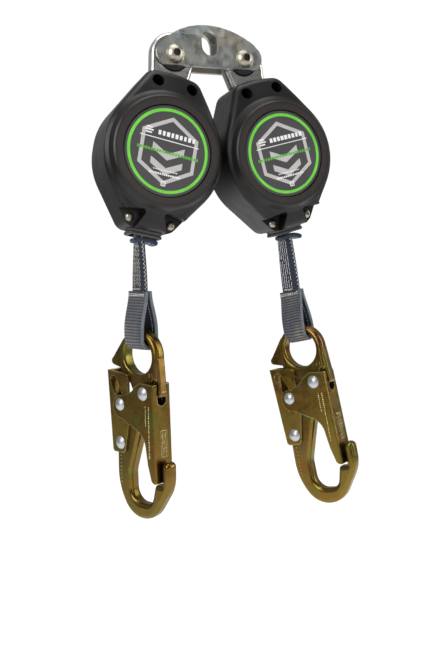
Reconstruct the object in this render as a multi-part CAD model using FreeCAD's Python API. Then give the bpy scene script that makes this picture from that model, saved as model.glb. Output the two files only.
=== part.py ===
"""Twin self retracting lifeline: two web-wound housings on one connector bracket,
each with a double-locking snap hook.

Millimetres, +Z up, labels face -Y.  The origin is the centre of the bracket's
connector slot, midway between the two bracket plates.
"""
import FreeCAD
import Part
import math
import os

from FreeCAD import Placement, Rotation, Vector

os.makedirs("parts", exist_ok=True)

# ---------------------------------------------------------------- driving sizes
FIT_GAP = 0.3          # between curved faces of separate pieces that only touch
RUNNING = 0.06         # radial clearance of a pin that turns in its hole

# connector bracket: two bent plates, front and rear
BOLT_X = 27.4          # each bolt's distance from the middle
BOLT_Z = -9.6          # bolt line, below the slot's centre
PLATE_GAP = 11.5
PLATE_T = 3.0
PLATE_END = 41.3       # half length
PLATE_TOP = 13.3
PLATE_BOTTOM = -17.4
ARCH_R = 53.6
BEND_Z = 4.3
BEND_ANGLE = 15.0      # the arched top leans towards the other plate
SLOT_W = 13.2
SLOT_H = 18.2
BOLT_R = 4.0           # M8 button head
BOLT_HEAD_R = 7.0
BOLT_HEAD_H = 4.4
NUT_AF = 13.0
NUT_H = 8.0

# swivel eye
EYE_OUTER_R = 17.0
EYE_HOLE_R = 11.0
EYE_T = 9.8
SHANK_R = 5.0
SHANK_END = -41.0
COLLAR_R = 7.2

# housing, in its own frame: eye pivot at the origin
SPLAY = 13.4           # each housing leans outward from the vertical
RING_Z = -75.6         # drum axis and label centre
REAR_Y = 20.0
WALL = 2.4
BEZEL_Y = -31.0
BEZEL_R = 37.2
LABEL_R = 31.2
LABEL_FRONT_Y = -30.2
LABEL_BACK_Y = -27.5
EYE_WELL_R = 15.6
EYE_WELL_WAIST = -17.2  # the well narrows from here down to its floor
EYE_WELL_FLOOR = -25.6
UPPER_SCREW = (12.6, -26.9)
UPPER_HOLE_R = 4.2
LOWER_SCREW = (15.3, -122.8)
LEDGE_Y = -13.5        # ledge that the lower screws' heads sit on
POCKET_WALL = 1.6
SCREW_R = 1.7
SCREW_HEAD_R = 3.3
BOTTOM_Z = -129.2

# drum, brake and spring, all round the drum axis
FLANGE_R = 33.5
FLANGE_INNER_Y = 6.7
FLANGE_T = 2.0
HUB_R = 11.0
COIL_R = 32.0
SHAFT_R = 5.0
FRAME_FRONT_Y = -13.2  # inner face of the frame's front plate
FRAME_REAR_Y = 9.2
FRAME_T = 2.0
RATCHET_OUTER_R = 38.3
RATCHET_TIP_R = 33.2
RATCHET_ROOT_R = 36.2
TEETH = 10
PAWL_PIVOT_R = 22.5
PAWL_LENGTH = 16.0
PAWL_T = 3.0
SPRING_CASE_R = 30.0
SPRING_TURNS = 8

# webbing: 25 mm web folded lengthwise and stitched
LEADER_T = 5.0
LEADER_W = 14.6
INNER_WEB_W = 12.5     # the web where it runs through the nozzle
LEADER_TOP = 9.0       # above the exit point
LEADER_END = 4.2       # gap between the leader's end and the loop's flex line
STOP_BOTTOM = -10.5
EXIT_Z = -128.0        # where the leader's line leaves the housing's axis
LOOP_W = 19.2
LOOP_T = 3.2
LOOP_RISE = 46.0       # hook eye centre up to the loop's stitched end

# how each side hangs: leader lean, exposed leader, hook yaw, hook roll, the web's place across
# the nozzle, and how far the loop's slack hangs down in the hook's eye
SIDES = {
    "left": {"sign": -1, "lean": 2.6, "leader": 45.5, "yaw": -62.0, "roll": 3.1,
             "exit": -3.6, "sag": 1.8},
    "right": {"sign": 1, "lean": 5.1, "leader": 51.7, "yaw": -59.0, "roll": -9.3,
              "exit": 0.0, "sag": 0.0},
}

# snap hook, in its own frame: gate rivet axis at the origin, +X to the gate
HOOK_T = 10.0
HOOK_EYE = (-8.6, 26.4)
HOOK_EYE_R = 13.9
LOBE = (-24.2, -10.4)
LEVER_PIVOT = (-27.1, -40.2)
GATE_SPINE_X = 10.4    # spine's outer face at the top
GATE_TIP_X = 11.9      # and at the tip
GATE_INNER_Y = 7.05
GATE_T = 2.0
LEVER_INNER_Y = 5.25
LEVER_T = 1.5
RIVET_R = 3.0
LOBE_RIVET_R = 2.6


# ---------------------------------------------------------------- small helpers
def edges_of(start, steps, y=0.0):
    """Edges in a plane of constant y: a step is a point, or (via, end) for an arc."""
    here = Vector(start[0], y, start[1])
    edges = []
    for step in steps:
        if isinstance(step[0], tuple):
            via = Vector(step[0][0], y, step[0][1])
            end = Vector(step[1][0], y, step[1][1])
            edges.append(Part.Arc(here, via, end).toShape())
        else:
            end = Vector(step[0], y, step[1])
            edges.append(Part.LineSegment(here, end).toShape())
        here = end
    return edges


def closed_wire(start, steps, y=0.0):
    return Part.Wire(edges_of(start, list(steps) + [start], y))


def rounded_polygon(corners, y=0.0):
    """Closed wire of straight runs joined by tangent arcs; a corner is (x, z, radius)."""
    count = len(corners)
    points = [Vector(x, y, z) for x, z, radius in corners]
    joints = []
    for index, (x, z, radius) in enumerate(corners):
        here = points[index]
        back = (points[index - 1] - here).normalize()
        ahead = (points[(index + 1) % count] - here).normalize()
        half_angle = back.getAngle(ahead) / 2
        reach = radius / math.tan(half_angle)
        bisector = (back + ahead).normalize()
        middle = here + bisector * (radius / math.sin(half_angle) - radius)
        joints.append((here + back * reach, middle, here + ahead * reach))
    edges = []
    for index, (start, middle, end) in enumerate(joints):
        edges.append(Part.Arc(start, middle, end).toShape())
        following = joints[(index + 1) % count][0]
        if (following - end).Length > 1e-6:
            edges.append(Part.LineSegment(end, following).toShape())
    return Part.Wire(edges)


def prism(start, steps, y0, y1):
    """A closed outline in X and Z, extruded from y0 to y1."""
    return Part.Face(closed_wire(start, steps, y0)).extrude(Vector(0, y1 - y0, 0))


def box(x0, x1, y0, y1, z0, z1):
    return Part.makeBox(x1 - x0, y1 - y0, z1 - z0, Vector(x0, y0, z0))


def rod_y(radius, y0, y1, x=0.0, z=0.0):
    return Part.makeCylinder(radius, y1 - y0, Vector(x, y0, z), Vector(0, 1, 0))


def rod_z(radius, z0, z1, x=0.0, y=0.0):
    return Part.makeCylinder(radius, z1 - z0, Vector(x, y, z0), Vector(0, 0, 1))


def ring_y(outer, inner, y0, y1, x=0.0, z=0.0):
    return rod_y(outer, y0, y1, x, z).cut(rod_y(inner, y0 - 1, y1 + 1, x, z))


def revolve_y(points, z):
    """A closed (radius, y) outline turned about the Y axis through height z."""
    outline = [Vector(radius, y, z) for radius, y in points]
    face = Part.Face(Part.makePolygon(outline + outline[:1]))
    return face.revolve(Vector(0, 0, z), Vector(0, 1, 0), 360)


def hex_prism(across_flats, y0, y1, x=0.0, z=0.0, turn=0.0):
    corner = across_flats / math.sqrt(3.0)
    points = []
    for side in range(7):
        angle = math.radians(60.0 * side + turn)
        points.append(Vector(x + corner * math.cos(angle), y0, z + corner * math.sin(angle)))
    return Part.Face(Part.makePolygon(points)).extrude(Vector(0, y1 - y0, 0))


def edges_at_y(shape, y):
    """Edges that lie wholly in one plane of constant y."""
    return [e for e in shape.Edges
            if abs(e.BoundBox.YMin - y) < 0.01 and abs(e.BoundBox.YMax - y) < 0.01]


def rounded(shape, edges, radius):
    return shape.makeFillet(radius, edges)


def group(solids):
    return Part.makeCompound([s for shape in solids for s in shape.Solids])


def save(name, shape, placement=None):
    """Write one node, placed in the row's frame."""
    placed = shape.copy()
    if placement is not None:
        placed.Placement = placement.multiply(placed.Placement)
    if not placed.isValid():
        raise RuntimeError("invalid shape: " + name)
    placed.exportStep("parts/" + name + ".step")
    print("%-24s %2d solids %10.1f mm3" % (name, len(placed.Solids), placed.Volume))


# ---------------------------------------------------------------- bracket
def bracket_plate(facing):
    """One bent plate; facing is -1 for the front plate and +1 for the rear one."""
    right = edges_of((0, PLATE_TOP), [
        ((20.0, PLATE_TOP - ARCH_R + math.sqrt(ARCH_R ** 2 - 400.0)), (36.0, -0.6)),
        ((40.3, -4.6), (PLATE_END, -9.4)),
        ((38.8, -15.1), (32.5, PLATE_BOTTOM)),
        (0, PLATE_BOTTOM),
    ])
    left = [edge.mirror(Vector(0, 0, 0), Vector(1, 0, 0)) for edge in right]
    outline = Part.Face(Part.Wire(Part.__sortEdges__(right + left)))
    outline.translate(Vector(0, -20, 0))
    blank = outline.extrude(Vector(0, 40, 0))

    inner = PLATE_GAP / 2
    outer = inner + PLATE_T
    lean = math.radians(BEND_ANGLE)
    reach = 30.0
    mitre = PLATE_T * math.tan(lean / 2)
    section = [
        (inner, PLATE_BOTTOM - 5), (outer, PLATE_BOTTOM - 5), (outer, BEND_Z + mitre),
        (outer - reach * math.sin(lean), BEND_Z + mitre + reach * math.cos(lean)),
        (inner - reach * math.sin(lean), BEND_Z + reach * math.cos(lean)),
        (inner, BEND_Z),
    ]
    points = [Vector(-60, facing * y, z) for y, z in section]
    strip = Part.Face(Part.makePolygon(points + points[:1])).extrude(Vector(120, 0, 0))
    bends = [e for e in strip.Edges
             if e.Length > 100 and abs(e.CenterOfMass.z - BEND_Z) < 1.0]
    plate = rounded(strip, bends, 2.0).common(blank)

    half = (SLOT_H - SLOT_W) / 2
    radius = SLOT_W / 2
    slot = prism((-radius, half), [((0, half + radius), (radius, half)), (radius, -half),
                                   ((0, -half - radius), (-radius, -half))], -20, 20)
    plate = plate.cut(slot)
    for side in (-1, 1):
        plate = plate.cut(rod_y(BOLT_R + FIT_GAP, -20, 20, side * BOLT_X, BOLT_Z))
    return plate


def button_screw(radius, head_r, head_h, socket_af, head_y, end_y, x, z):
    """A screw along +Y whose domed head sits in front of head_y."""
    sphere_r = (head_r ** 2 + head_h ** 2) / (2 * head_h)
    dome = Part.makeSphere(sphere_r, Vector(x, head_y - head_h + sphere_r, z))
    head = dome.common(rod_y(head_r, head_y - head_h, head_y, x, z))
    socket = hex_prism(socket_af, head_y - head_h - 1, head_y - head_h * 0.35, x, z)
    return head.fuse(rod_y(radius, head_y - 0.5, end_y, x, z)).cut(socket)


def make_bracket():
    face = PLATE_GAP / 2 + PLATE_T
    save("bracket_front_plate", bracket_plate(-1))
    save("bracket_rear_plate", bracket_plate(1))
    bolts = []
    nuts = []
    bushings = []
    for side in (-1, 1):
        x = side * BOLT_X
        bolts.append(button_screw(BOLT_R, BOLT_HEAD_R, BOLT_HEAD_H, 5.0, -face, face + NUT_H + 2.0,
                                  x, BOLT_Z))
        nut = hex_prism(NUT_AF, face, face + NUT_H, x, BOLT_Z)
        cone = Part.makeCone(BOLT_R + 4.6, BOLT_R + 1.6, NUT_H, Vector(x, face, BOLT_Z),
                             Vector(0, 1, 0))
        nut = nut.common(cone.fuse(rod_y(BOLT_R + 4.6, face, face + NUT_H - 3.0, x, BOLT_Z)))
        nuts.append(nut.cut(rod_y(BOLT_R + RUNNING, 0, face + NUT_H + 1, x, BOLT_Z)))
        bushings.append(ring_y(EYE_HOLE_R - FIT_GAP, BOLT_R + FIT_GAP,
                               -PLATE_GAP / 2 + 0.1, PLATE_GAP / 2 - 0.1, x, BOLT_Z))
    save("bracket_bolts", group(bolts))
    save("bracket_nuts", group(nuts))
    save("eye_bushings", group(bushings))


# ---------------------------------------------------------------- housing
def swivel_eye():
    """Forged eye with a shank that turns in the housing's frame."""
    half = EYE_T / 2
    ring = rod_y(EYE_OUTER_R, -half, half)
    right = [(EYE_OUTER_R - 0.2, -2.6), (14.6, -17.4), (8.6, -25.0)]
    outline = right + [(-x, z) for x, z in reversed(right)]
    root = prism(outline[0], outline[1:], -half, half)
    body = ring.fuse(root).removeSplitter()
    body = rounded(body, edges_at_y(body, half) + edges_at_y(body, -half), 3.4)
    body = body.cut(rod_y(EYE_HOLE_R, -20, 20))
    rim = [e for e in edges_at_y(body, half) + edges_at_y(body, -half)
           if abs(e.BoundBox.XMax - EYE_HOLE_R) < 0.1]
    body = rounded(body, rim, 1.2)
    shank = rod_z(SHANK_R, SHANK_END, -22.0).fuse(rod_z(COLLAR_R, -28.7, -23.5))
    return body.fuse(shank).removeSplitter()


def swivel_nut():
    nut = hex_prism(16.0, 0, 6.0)
    nut = nut.cut(rod_y(SHANK_R + RUNNING, -1, 7))
    nut.Placement = Placement(Vector(0, 0, -38.4), Rotation(Vector(1, 0, 0), 90))
    return nut


def outline_face(inset, y):
    """The housing's outline, moved in by inset, as a face at one y."""
    half = [(18.6, -18.9, 10.0), (43.0, -61.2, 44.0), (43.0, -91.2, 44.0), (15.9, BOTTOM_Z, 9.0)]
    corners = [(0.0, -17.0, 60.0)] + half + [(-x, z, radius) for x, z, radius in reversed(half)]
    face = Part.Face(rounded_polygon(corners, y))
    if inset:
        face = face.makeOffset2D(-inset)
    return face


def front_dome(inset):
    """Everything behind the housing's front surface, moved back by inset."""
    profile = [
        (0, 1), (0, BEZEL_Y + inset), (BEZEL_R - inset, BEZEL_Y + inset),
        (BEZEL_R + 1.2 - inset, BEZEL_Y + 0.9 + inset),
        (BEZEL_R + 3.4 - inset, -26.0 + inset), (BEZEL_R + 5.6 - inset, -24.6 + inset),
        (64.0, -16.6 + inset), (64.0, 1),
    ]
    return revolve_y(profile, RING_Z)


def screw_pocket(side, grow=0.0):
    """Corner step down to a lower screw's ledge, open at the front and outside."""
    corners = [(5.5, -116.4, 2.2), (60.0, -121.8, 1.0), (60.0, -160.0, 1.0), (24.8, -160.0, 1.0)]
    outline = Part.Face(rounded_polygon([(side * x, z, r) for x, z, r in corners], -40))
    if grow:
        outline = outline.makeOffset2D(grow)
    return outline.extrude(Vector(0, LEDGE_Y + grow + 40, 0))


def well():
    """Round well in the housing's top for the swivel eye."""
    wide = rod_z(EYE_WELL_R, EYE_WELL_WAIST, 0)
    floor_r = 10.2
    cone = Part.makeCone(floor_r, EYE_WELL_R, EYE_WELL_WAIST - EYE_WELL_FLOOR,
                         Vector(0, 0, EYE_WELL_FLOOR))
    return wide.fuse(cone).fuse(rod_z(COLLAR_R + 0.6, -31, 0))


def nozzle_port():
    return box(-9.9, 9.9, -7.9, 7.9, BOTTOM_Z - 3, BOTTOM_Z + 12)


def front_shell():
    outer = outline_face(0, -40).extrude(Vector(0, 40, 0)).common(front_dome(0))
    rim = [e for e in outer.Edges
           if e.BoundBox.YMin > -24.3 and e.BoundBox.YMax < -17.0
           and e.Curve.TypeId != "Part::GeomLine"]
    outer = rounded(outer, rim, 6.0)
    inner = outline_face(WALL, -40).extrude(Vector(0, 41, 0)).common(front_dome(WALL))
    shell = outer.cut(inner)
    seat = rod_y(LABEL_R + 0.6, BEZEL_Y - 1, LABEL_BACK_Y, 0, RING_Z)
    backing = rod_y(BEZEL_R + 0.4, LABEL_BACK_Y - 0.4, LABEL_BACK_Y + 1.8, 0, RING_Z)
    shell = shell.fuse(backing).cut(seat)
    for side in (-1, 1):
        x, z = UPPER_SCREW
        post = rod_y(UPPER_HOLE_R + 1.2, -22, -0.1, side * x, z)
        x, z = LOWER_SCREW
        foot = rod_y(3.6, -20, -0.1, side * x, z)
        solid = outline_face(0.5, -40).extrude(Vector(0, 40, 0)).common(front_dome(0.5))
        wall = screw_pocket(side, POCKET_WALL)
        shell = shell.fuse(post.fuse(foot).fuse(wall).common(solid))
    for side in (-1, 1):
        x, z = UPPER_SCREW
        shell = shell.cut(rod_y(UPPER_HOLE_R, -40, -9.0, side * x, z))
        shell = shell.cut(rod_y(SCREW_R + FIT_GAP, -12, 1, side * x, z))
        x, z = LOWER_SCREW
        shell = shell.cut(screw_pocket(side))
        shell = shell.cut(rod_y(SCREW_R + FIT_GAP, -16, 1, side * x, z))
    return shell.cut(well()).cut(nozzle_port()).removeSplitter()


def rear_shell():
    outer = outline_face(0, 0).extrude(Vector(0, REAR_Y, 0))
    outer = rounded(outer, edges_at_y(outer, REAR_Y), 6.0)
    inner = outline_face(WALL, -1).extrude(Vector(0, REAR_Y - WALL + 1, 0))
    shell = outer.cut(inner)
    for side in (-1, 1):
        for x, z in (UPPER_SCREW, LOWER_SCREW):
            post = rod_y(3.4, 0.1, REAR_Y - 1, side * x, z)
            shell = shell.fuse(post.common(outer))
    for side in (-1, 1):
        for x, z in (UPPER_SCREW, LOWER_SCREW):
            shell = shell.cut(rod_y(SCREW_R + FIT_GAP, -1, 13, side * x, z))
    return shell.cut(well()).cut(nozzle_port()).removeSplitter()


def shell_screws():
    solids = []
    for side in (-1, 1):
        x, z = UPPER_SCREW
        solids.append(button_screw(SCREW_R, SCREW_HEAD_R, 2.2, 2.5, -9.0, 11, side * x, z))
        x, z = LOWER_SCREW
        solids.append(button_screw(SCREW_R, SCREW_HEAD_R, 2.2, 2.5, LEDGE_Y, 11, side * x, z))
    return group(solids)


def web_nozzle():
    flange = box(-12.5, 12.5, -8.8, 8.8, BOTTOM_Z - 3.2, BOTTOM_Z)
    upright = [e for e in flange.Edges if abs(e.BoundBox.ZLength - 3.2) < 0.01]
    flange = rounded(flange, upright, 2.0)
    neck = box(-9.6, 9.6, -7.6, 7.6, BOTTOM_Z - 1, BOTTOM_Z + 4.6)
    slot = box(-7.0, 7.0, -6.8, 6.8, BOTTOM_Z - 6, BOTTOM_Z + 8)
    return flange.fuse(neck).cut(slot).removeSplitter()


def inner_frame():
    """One bent steel piece: front plate, rear plate and the bridge for the eye."""
    top = -29.0
    bottom = -114.4
    neck = 7.6
    half = [(neck, top), (neck, -36.0), (27.0, -60.0), (27.0, -92.0), (11.0, -110.0),
            (11.0, bottom)]
    outline = half + [(-x, z) for x, z in reversed(half)]
    front = prism(outline[0], outline[1:], FRAME_FRONT_Y - FRAME_T, FRAME_FRONT_Y)
    rear = prism(outline[0], outline[1:], FRAME_REAR_Y, FRAME_REAR_Y + FRAME_T)
    bridge = box(-neck, neck, FRAME_FRONT_Y - FRAME_T, FRAME_REAR_Y + FRAME_T, top - 3.2, top)
    frame = front.fuse(rear).fuse(bridge)
    frame = frame.cut(rod_z(SHANK_R + RUNNING, top - 6, top + 2))
    frame = frame.cut(rod_y(SHAFT_R + 2.0 + 0.05, -30, 30, 0, RING_Z))
    return frame.removeSplitter()


def shaft_bushes():
    solids = []
    for y0 in (FRAME_FRONT_Y - FRAME_T, FRAME_REAR_Y):
        solids.append(ring_y(SHAFT_R + 2.0, SHAFT_R + RUNNING, y0, y0 + FRAME_T, 0, RING_Z))
    return group(solids)


def guide_pins():
    return group([rod_y(1.8, FRAME_FRONT_Y, FRAME_REAR_Y, side * 6.6, -111.6) for side in (-1, 1)])


def ratchet_ring():
    """Fixed brake ring with inward saw teeth, open at the bottom for the web."""
    pitch = 360.0 / TEETH
    phase = 28.5
    points = []
    for tooth in range(TEETH):
        for share, radius in ((0.0, RATCHET_ROOT_R), (0.97, RATCHET_TIP_R)):
            angle = math.radians(phase + pitch * (tooth + share))
            points.append((radius * math.cos(angle), RING_Z + radius * math.sin(angle)))
    y0 = FRAME_FRONT_Y
    bore = prism(points[0], points[1:], y0 - 1, y0 + 5)
    ring = rod_y(RATCHET_OUTER_R, y0, y0 + 3.8, 0, RING_Z).cut(bore)
    return ring.cut(box(-9.4, 9.4, y0 - 1, y0 + 5, -120, RING_Z - 25))


def pawl_pin(index):
    angle = math.radians(90.0 + 180.0 * index)
    return PAWL_PIVOT_R * math.cos(angle), RING_Z + PAWL_PIVOT_R * math.sin(angle)


def web_drum():
    back = FLANGE_INNER_Y
    drum = rod_y(HUB_R, -back, back, 0, RING_Z)
    for side in (-1, 1):
        near, far = sorted((side * back, side * (back + FLANGE_T)))
        drum = drum.fuse(rod_y(FLANGE_R, near, far, 0, RING_Z))
    for index in (0, 1):
        x, z = pawl_pin(index)
        drum = drum.fuse(rod_y(2.0, FRAME_FRONT_Y + 0.3, -back - 1, x, z))
    return drum.cut(rod_y(SHAFT_R + 0.05, -20, 20, 0, RING_Z)).removeSplitter()


def drum_shaft():
    return rod_y(SHAFT_R, FRAME_FRONT_Y - FRAME_T - 1.2, 16.6, 0, RING_Z)


def web_coil():
    return ring_y(COIL_R, HUB_R + 0.3, -FLANGE_INNER_Y + 0.3, FLANGE_INNER_Y - 0.3, 0, RING_Z)


def pawl(index):
    """Centrifugal pawl, folded in, on its pin on the drum's front flange."""
    length = PAWL_LENGTH
    arm = prism((0, 3.6), [(length - 4, 3.0), (length, 1.2), (length, -2.2),
                           (length - 5, -3.2), (0, -3.6)], 0, PAWL_T)
    arm = arm.fuse(rod_y(3.6, 0, PAWL_T)).cut(rod_y(2.0 + RUNNING, -1, PAWL_T + 1))
    x, z = pawl_pin(index)
    y0 = FRAME_FRONT_Y + 0.6
    turn = Rotation(Vector(0, 1, 0), -18.0 + 180.0 * index)
    arm.Placement = Placement(Vector(x, y0, z), turn)
    return arm.removeSplitter()


def spring_case():
    y0 = FRAME_REAR_Y + FRAME_T
    cup = rod_y(SPRING_CASE_R, y0, y0 + 5.6, 0, RING_Z)
    cup = cup.cut(rod_y(SPRING_CASE_R - 1.5, y0 - 1, y0 + 4.6, 0, RING_Z))
    return cup.cut(rod_y(SHAFT_R + 1.0, 0, 30, 0, RING_Z))


def power_spring():
    """Flat spiral of half turns, each half turn's centre stepping along X."""
    strip = 0.6
    step = 1.3
    radius = SHAFT_R + 1.6
    y0 = FRAME_REAR_Y + FRAME_T + 0.3
    y1 = y0 + 4.0
    spiral = None
    for half_turn in range(2 * SPRING_TURNS + 1):
        upper = half_turn % 2 == 0
        centre_x = 0.0 if upper else -step / 2
        half_ring = ring_y(radius + strip, radius, y0, y1, centre_x, RING_Z)
        z0, z1 = (RING_Z, RING_Z + 60) if upper else (RING_Z - 60, RING_Z)
        half_ring = half_ring.common(box(-60, 60, y0, y1, z0, z1))
        spiral = half_ring if spiral is None else spiral.fuse(half_ring)
        radius += step / 2
    return spiral.removeSplitter()


def label_disc():
    disc = rod_y(LABEL_R, LABEL_BACK_Y - 2.7, LABEL_BACK_Y, 0, RING_Z)
    return rounded(disc, edges_at_y(disc, LABEL_FRONT_Y), 0.5)


# ---------------------------------------------------------------- webbing
def web_leader(length):
    """Straight stitched web; its frame's origin is the exit point, -Z down the web."""
    sewn = box(-LEADER_T / 2, LEADER_T / 2, -LEADER_W / 2, LEADER_W / 2,
               -length + LEADER_END, STOP_BOTTOM - 0.2)
    inner = box(-LEADER_T / 2, LEADER_T / 2, -INNER_WEB_W / 2, INNER_WEB_W / 2, STOP_BOTTOM - 0.2,
                LEADER_TOP)
    return sewn.fuse(inner)


def web_stop():
    """Folded web bumper under the nozzle that stops the leader running in."""
    pad = box(-9.0, 12.0, -7.2, 7.2, STOP_BOTTOM, STOP_BOTTOM + 3.2)
    hole = box(-LEADER_T / 2 - 0.2, LEADER_T / 2 + 0.2, -INNER_WEB_W / 2 - 0.2,
               INNER_WEB_W / 2 + 0.2, -12, 0)
    return pad.cut(hole)


def web_loop(sag):
    """Loop through the hook's eye, in the hook's frame, in the plane of Y and Z."""
    x, z = HOOK_EYE
    bar_half = HOOK_T / 2 + 0.7
    outer_half = bar_half + LOOP_T
    low = z + 9.4 - LOOP_T - sag
    apex = z + LOOP_RISE
    shoulder = z + 22.0
    neck = 3.0

    def section(half, bottom, top, tip_half):
        points = [Vector(x - LOOP_W / 2, -tip_half, top), Vector(x - LOOP_W / 2, -half, shoulder),
                  Vector(x - LOOP_W / 2, -half, bottom), Vector(x - LOOP_W / 2, half, bottom),
                  Vector(x - LOOP_W / 2, half, shoulder), Vector(x - LOOP_W / 2, tip_half, top)]
        return Part.Face(Part.makePolygon(points + points[:1])).extrude(Vector(LOOP_W, 0, 0))

    outer = section(outer_half, low, apex, neck)
    under = [e for e in outer.Edges
             if e.BoundBox.XLength > 15 and abs(e.BoundBox.ZMax - low) < 0.01]
    outer = rounded(outer, under, 3.0)
    inner = section(bar_half, low + LOOP_T, apex - 14.0, 0.8)
    end = Part.makeCylinder(neck, LOOP_W, Vector(x - LOOP_W / 2, 0, apex), Vector(1, 0, 0))
    return outer.fuse(end).cut(inner).removeSplitter()


# ---------------------------------------------------------------- snap hook
def hook_body():
    """Forged body: eye, fin, boss, spine, bowl and nose."""
    half = HOOK_T / 2
    ex, ez = HOOK_EYE
    body = Part.Face(rounded_polygon([
        (11.0, 45.8, 19.2), (11.0, 8.8, 3.0), (7.2, 7.6, 1.5), (4.4, -8.0, 8.0),
        (-8.6, -31.4, 14.0), (-19.0, -62.0, 16.0), (-18.6, -84.4, 9.8), (1.2, -84.4, 8.0),
        (5.6, -67.4, 2.4), (12.6, -67.6, 0.8), (12.4, -49.4, 2.9), (20.4, -49.4, 3.6),
        (20.4, -68.5, 28.0), (2.0, -96.2, 20.6), (-20.5, -96.6, 20.0), (-34.0, -75.0, 44.0),
        (-33.2, -34.0, 6.0), (-15.4, -20.0, 8.0), (-15.4, 4.0, 6.0), (-28.2, 10.0, 10.0),
        (-28.2, 45.8, 19.2),
    ], -half)).extrude(Vector(0, HOOK_T, 0))
    leg = prism((7.0, 24.0), [(11.0, 25.4), (12.9, 2.0), ((12.2, -2.0), (10.8, -2.8)),
                              ((9.2, -2.0), (8.8, 0.0))], -3.9, 3.9)
    leg = rounded(leg, edges_at_y(leg, 3.9) + edges_at_y(leg, -3.9), 1.4)
    fin = prism((-25.2, 38.0), [(-37.2, 23.0), ((-38.6, 20.0), (-36.8, 17.9)), (-26.0, 15.2),
                                (-16.0, 6.0), (-16.0, 30.0)], -2.4, 2.4)
    faces = edges_at_y(body, half) + edges_at_y(body, -half)
    body = rounded(body, faces, 3.3)
    body = body.cut(rod_y(HOOK_EYE_R, -20, 20, ex, ez))
    rim = [e for e in edges_at_y(body, half) + edges_at_y(body, -half)
           if abs(e.BoundBox.XLength - 2 * HOOK_EYE_R) < 0.5]
    body = rounded(body, rim, 2.1)
    body = body.fuse(leg).fuse(fin.cut(rod_y(HOOK_EYE_R + 3, -20, 20, ex, ez)))
    body = body.cut(rod_y(RIVET_R + RUNNING, -20, 20))
    body = body.cut(rod_y(RIVET_R + RUNNING, -20, 20, *LEVER_PIVOT))
    return body.removeSplitter()


def gate_outline(y0, y1):
    return prism((GATE_SPINE_X, 6.8), [
        (-1.2, 7.6), ((-6.4, 5.4), (-10.4, 1.4)), ((-15.6, -1.4), (-21.4, -3.4)),
        ((-31.2, -11.0), (-22.6, -20.8)), (-8.6, -27.2), ((-1.2, -32.0), (2.0, -40.0)),
        (3.8, -52.0), (6.4, -61.4), ((8.2, -64.4), (GATE_TIP_X, -64.9)),
    ], y0, y1)


def hook_gate():
    """Folded sheet gate: two cheeks and a spine with a notch for the eye's leg."""
    outer = GATE_INNER_Y + GATE_T
    gate = gate_outline(-outer, -GATE_INNER_Y).fuse(gate_outline(GATE_INNER_Y, outer))
    spine = prism((GATE_SPINE_X, 6.8), [
        (GATE_TIP_X, -64.9), (GATE_TIP_X - GATE_T, -64.9), (GATE_SPINE_X - GATE_T, 6.8)],
        -outer, outer)
    notch = Part.makeCylinder(4.6, 20, Vector(0, 0, -4.2), Vector(1, 0, 0))
    notch = notch.fuse(box(0, 20, -4.6, 4.6, -4.2, 12))
    notch = notch.common(box(GATE_SPINE_X - GATE_T - 1, 20, -20, 20, -40, 20))
    gate = gate.fuse(spine.cut(notch)).removeSplitter()
    corners = [e for e in gate.Edges
               if e.BoundBox.ZLength > 60 and abs(e.BoundBox.XMax - GATE_TIP_X) < 0.01]
    gate = rounded(gate, corners, 1.6)
    gate = gate.cut(rod_y(RIVET_R + RUNNING, -20, 20))
    return gate.cut(rod_y(LOBE_RIVET_R + 0.02, -20, 20, *LOBE))


def lever_outline(y0, y1, inset=0.0):
    return prism((-38.8 + inset, 14.1), [
        (-23.0, 13.0), ((-18.2, 11.4), (-16.8, 6.6)), (-17.5, -25.0), (-21.7, -45.4),
        (-23.8, -47.8), (-33.6, -47.9), (-35.2 + inset, -46.3),
    ], y0, y1)


def lock_lever():
    """Folded sheet lock lever: two cheeks with a slot, and a finger web on the left."""
    inner = LEVER_INNER_Y
    outer = inner + LEVER_T
    lever = lever_outline(-outer, outer)
    lever = lever.cut(lever_outline(-inner, inner, LEVER_T))
    slot_top = (-32.6, 6.4)
    dx = LOBE[0] - slot_top[0]
    dz = LOBE[1] - slot_top[1]
    length = math.hypot(dx, dz)
    nx = dz / length * 3.5
    nz = -dx / length * 3.5
    slot = prism((slot_top[0] + nx, slot_top[1] + nz), [
        (LOBE[0] + nx, LOBE[1] + nz), (LOBE[0] - nx, LOBE[1] - nz),
        (slot_top[0] - nx, slot_top[1] - nz)], -20, 20)
    for x, z in (slot_top, LOBE):
        slot = slot.fuse(rod_y(3.5, -20, 20, x, z))
    lever = lever.cut(slot)
    return lever.cut(rod_y(RIVET_R + RUNNING, -20, 20, *LEVER_PIVOT)).removeSplitter()


def domed_rivet(radius, head_r, grip, x, z):
    """Rivet across the hook with a dome each end; grip is half the held thickness."""
    head_h = 2.1
    sphere_r = (head_r ** 2 + head_h ** 2) / (2 * head_h)
    rivet = rod_y(radius, -grip - 0.2, grip + 0.2, x, z)
    for side in (-1, 1):
        low, high = sorted((side * grip, side * (grip + head_h)))
        centre = Vector(x, side * (grip + head_h - sphere_r), z)
        dome = Part.makeSphere(sphere_r, centre).common(rod_y(head_r, low, high, x, z))
        rivet = rivet.fuse(dome)
    return rivet.removeSplitter()


def hook_rivets():
    gate_grip = GATE_INNER_Y + GATE_T + 0.05
    lever_grip = LEVER_INNER_Y + LEVER_T + 0.05
    return group([domed_rivet(RIVET_R, 4.9, gate_grip, 0, 0),
                  domed_rivet(RIVET_R, 4.9, lever_grip, *LEVER_PIVOT)])


def lobe_rivet():
    return domed_rivet(LOBE_RIVET_R, 4.7, GATE_INNER_Y + GATE_T, *LOBE)


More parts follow.
